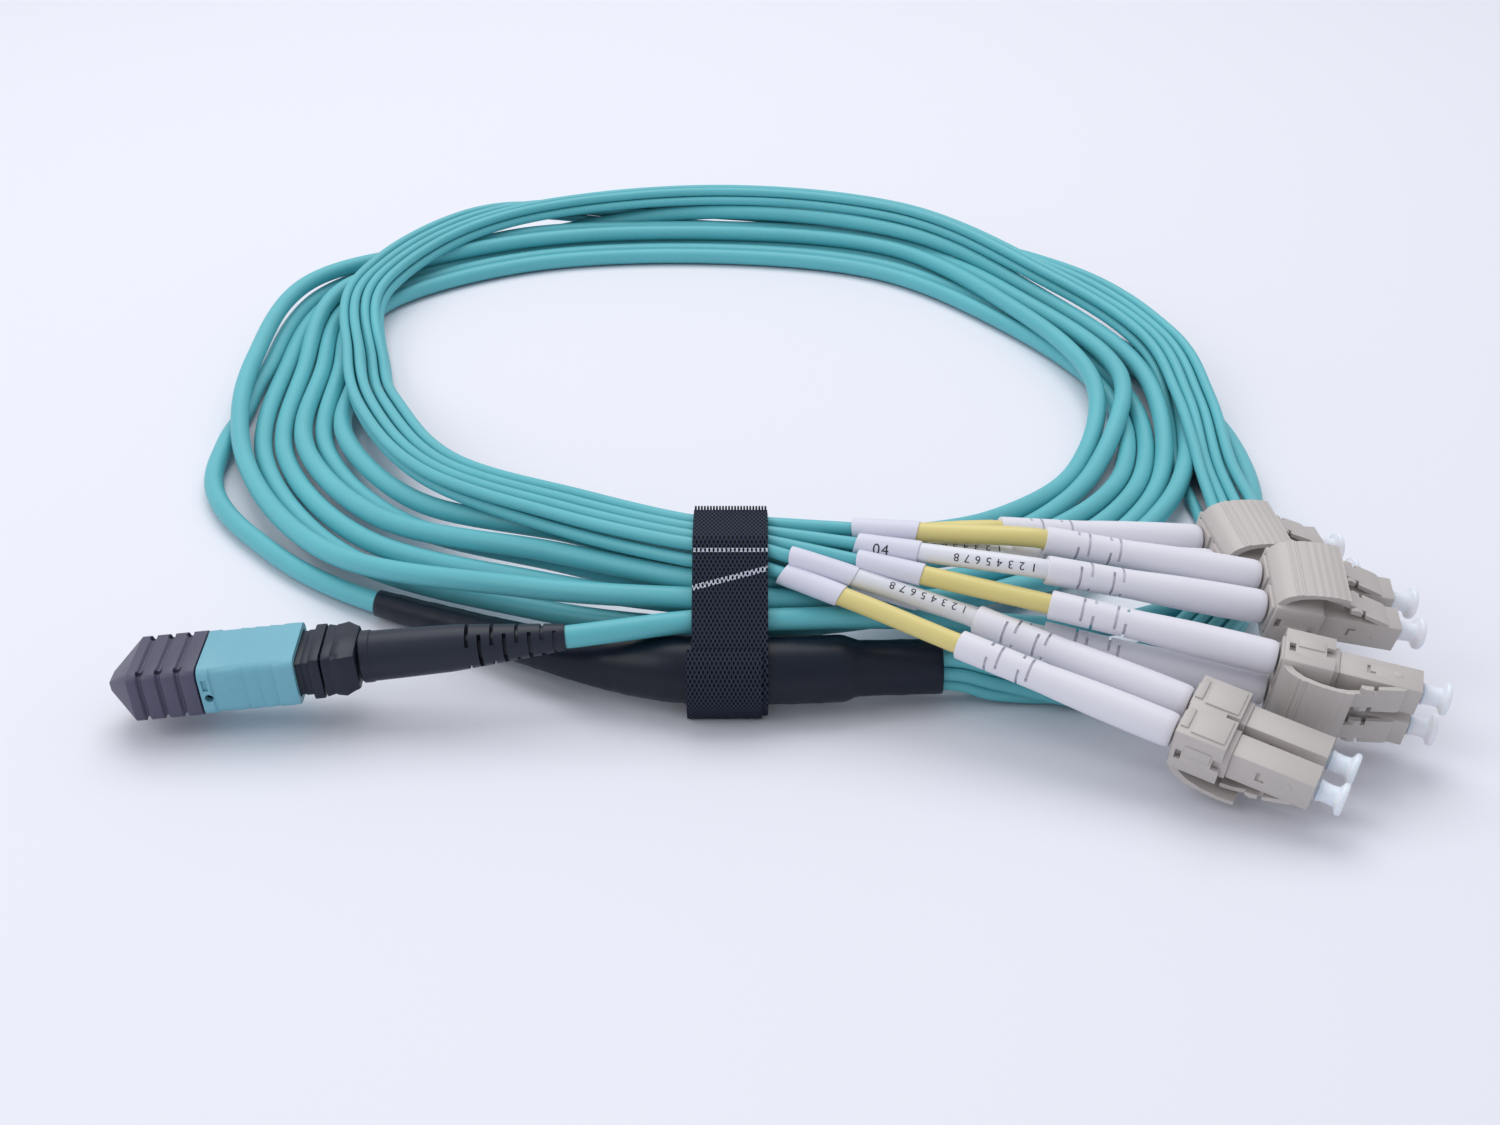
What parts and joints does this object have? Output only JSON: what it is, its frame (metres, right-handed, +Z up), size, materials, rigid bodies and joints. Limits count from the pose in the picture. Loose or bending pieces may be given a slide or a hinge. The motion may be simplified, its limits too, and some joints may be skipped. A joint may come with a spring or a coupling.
{
  "type": "fibre breakout cable",
  "caption": "Coiled optical fibre breakout cable: multi-fibre plug at one end, a fan-out sleeve and duplex single-fibre plugs with dust caps at the other, tied with a hook-and-loop strap.",
  "frame": {"origin": "centre of the flat underside of the strap, on the surface that the cable lies on", "axes": "+X from the multi-fibre plug towards the single-fibre plugs, +Y from the strap across the coil, +Z up"},
  "size_m": [0.1997, 0.237, 0.0252],
  "materials": {
    "aqua_jacket": "satin",
    "aqua_plastic": "satin",
    "grey_cap_plastic": "satin",
    "black_plastic": "satin",
    "heat_shrink": "satin",
    "strap_weave": "matte",
    "white_boot": "satin",
    "beige_plastic": "satin",
    "white_cap": "satin",
    "yellow_sleeve": "satin",
    "white_sleeve": "satin"
  },
  "bodies": {
    "cable": {"mpo_body": "black_plastic", "mpo_crimp_nut": "black_plastic", "mpo_boot": "black_plastic", "trunk_lead": "aqua_jacket", "trunk_coil": "aqua_jacket", "trunk_tail": "aqua_jacket", "fanout_sleeve": "heat_shrink", "leg_coil": "aqua_jacket", "strap": "strap_weave", "leg_1": "aqua_jacket", "marker_sleeve_1": "yellow_sleeve", "plug_boot_1": "white_boot", "plug_housing_1": "beige_plastic", "leg_2": "aqua_jacket", "marker_sleeve_2": "white_sleeve", "plug_boot_2": "white_boot", "plug_housing_2": "beige_plastic", "leg_3": "aqua_jacket", "marker_sleeve_3": "yellow_sleeve", "plug_boot_3": "white_boot", "plug_housing_3": "beige_plastic", "leg_4": "aqua_jacket", "marker_sleeve_4": "white_sleeve", "plug_boot_4": "white_boot", "plug_housing_4": "beige_plastic", "leg_5": "aqua_jacket", "marker_sleeve_5": "yellow_sleeve", "plug_boot_5": "white_boot", "plug_housing_5": "beige_plastic", "leg_6": "aqua_jacket", "marker_sleeve_6": "white_sleeve", "plug_boot_6": "white_boot", "plug_housing_6": "beige_plastic", "leg_7": "aqua_jacket", "marker_sleeve_7": "yellow_sleeve", "plug_boot_7": "white_boot", "plug_housing_7": "beige_plastic", "leg_8": "aqua_jacket", "marker_sleeve_8": "white_sleeve", "plug_boot_8": "white_boot", "plug_housing_8": "beige_plastic", "duplex_clip_a": "beige_plastic", "duplex_clip_b": "beige_plastic", "duplex_clip_c": "beige_plastic", "duplex_clip_d": "beige_plastic"},
    "mpo_sleeve": {"mpo_sleeve": "aqua_plastic"},
    "mpo_dust_cap": {"mpo_dust_cap": "grey_cap_plastic"},
    "plug_cap_1": {"plug_cap_1": "white_cap"},
    "plug_cap_2": {"plug_cap_2": "white_cap"},
    "plug_cap_3": {"plug_cap_3": "white_cap"},
    "plug_cap_4": {"plug_cap_4": "white_cap"},
    "plug_cap_5": {"plug_cap_5": "white_cap"},
    "plug_cap_6": {"plug_cap_6": "white_cap"},
    "plug_cap_7": {"plug_cap_7": "white_cap"},
    "plug_cap_8": {"plug_cap_8": "white_cap"}
  },
  "joints": [
    {"name": "mpo_sleeve_pull", "type": "slide", "parent": "cable", "child": "mpo_sleeve", "axis": [0.9953, 0.0487, 0.0837], "range_m": [0, 0.0017], "stiffness_N_per_m": 800},
    {"name": "mpo_cap_off", "type": "slide", "parent": "cable", "child": "mpo_dust_cap", "axis": [-0.9953, -0.0487, -0.0837], "range_m": [0, 0.02]},
    {"name": "cap_off_1", "type": "slide", "parent": "cable", "child": "plug_cap_1", "axis": [0.9781, 0.1549, -0.1392], "range_m": [0, 0.012]},
    {"name": "cap_off_2", "type": "slide", "parent": "cable", "child": "plug_cap_2", "axis": [0.9781, 0.1549, -0.1392], "range_m": [0, 0.012]},
    {"name": "cap_off_3", "type": "slide", "parent": "cable", "child": "plug_cap_3", "axis": [0.9842, -0.0344, -0.1736], "range_m": [0, 0.012]},
    {"name": "cap_off_4", "type": "slide", "parent": "cable", "child": "plug_cap_4", "axis": [0.9842, -0.0344, -0.1736], "range_m": [0, 0.012]},
    {"name": "cap_off_5", "type": "slide", "parent": "cable", "child": "plug_cap_5", "axis": [0.9587, -0.2569, -0.1219], "range_m": [0, 0.012]},
    {"name": "cap_off_6", "type": "slide", "parent": "cable", "child": "plug_cap_6", "axis": [0.9587, -0.2569, -0.1219], "range_m": [0, 0.012]},
    {"name": "cap_off_7", "type": "slide", "parent": "cable", "child": "plug_cap_7", "axis": [0.88, -0.4484, -0.1564], "range_m": [0, 0.012]},
    {"name": "cap_off_8", "type": "slide", "parent": "cable", "child": "plug_cap_8", "axis": [0.88, -0.4484, -0.1564], "range_m": [0, 0.012]}
  ]
}
